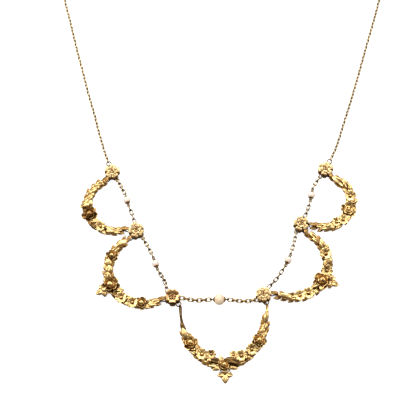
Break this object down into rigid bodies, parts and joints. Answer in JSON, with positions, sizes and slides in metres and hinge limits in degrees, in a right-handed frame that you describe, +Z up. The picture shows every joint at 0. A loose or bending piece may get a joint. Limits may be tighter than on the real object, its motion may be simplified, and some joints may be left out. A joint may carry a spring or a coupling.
{
  "type": "pearl and garland necklace",
  "caption": "Gold necklace laid flat: swags of cast flowers and leaves hang between small rosettes, with pearls on fine cable chain above them and a long back chain.",
  "frame": {"origin": "middle of the laid-out necklace on the table, at the height of the surface it lies on", "axes": "+Z up from the table, +Y from the lowest drop of the front to the clasp at the back, +X to the viewer's right"},
  "size_m": [0.1048, 0.1919, 0.0032],
  "materials": {
    "gold_relief": "polished yellow gold relief, darkened in its recesses",
    "gold_matte": "satin yellow gold",
    "gold_wire": "polished yellow gold wire",
    "gold_chain": "polished fine cable chain of yellow gold",
    "pearl": "lustrous cream pearl with a faint rose overtone"
  },
  "bodies": {
    "root": {"rosette_1": "gold_matte", "rosette_2": "gold_matte", "rosette_3": "gold_matte", "rosette_4": "gold_matte", "rosette_5": "gold_matte", "rosette_6": "gold_matte", "garland_upper_left": "gold_relief", "garland_middle_left": "gold_relief", "garland_centre": "gold_relief", "garland_middle_right": "gold_relief", "garland_upper_right": "gold_relief", "swag_ring_1": "gold_wire", "swag_ring_2": "gold_wire", "swag_ring_3": "gold_wire", "swag_ring_4": "gold_wire", "swag_ring_5": "gold_wire", "swag_ring_6": "gold_wire", "swag_ring_7": "gold_wire", "swag_ring_8": "gold_wire", "swag_ring_9": "gold_wire", "swag_ring_10": "gold_wire", "pearl_1": "pearl", "pearl_2": "pearl", "pearl_3": "pearl", "pearl_4": "pearl", "pearl_5": "pearl", "pearl_pin_1": "gold_wire", "pearl_pin_2": "gold_wire", "pearl_pin_3": "gold_wire", "pearl_pin_4": "gold_wire", "pearl_pin_5": "gold_wire", "pearl_chain_1": "gold_chain", "pearl_chain_2": "gold_chain", "pearl_chain_3": "gold_chain", "pearl_chain_4": "gold_chain", "pearl_chain_5": "gold_chain", "chain_ring_left": "gold_wire", "chain_ring_right": "gold_wire", "back_chain_left": "gold_chain", "back_chain_right": "gold_chain", "clasp_ring_left": "gold_wire", "clasp_ring_right": "gold_wire", "clasp": "gold_wire"}
  },
  "joints": []
}
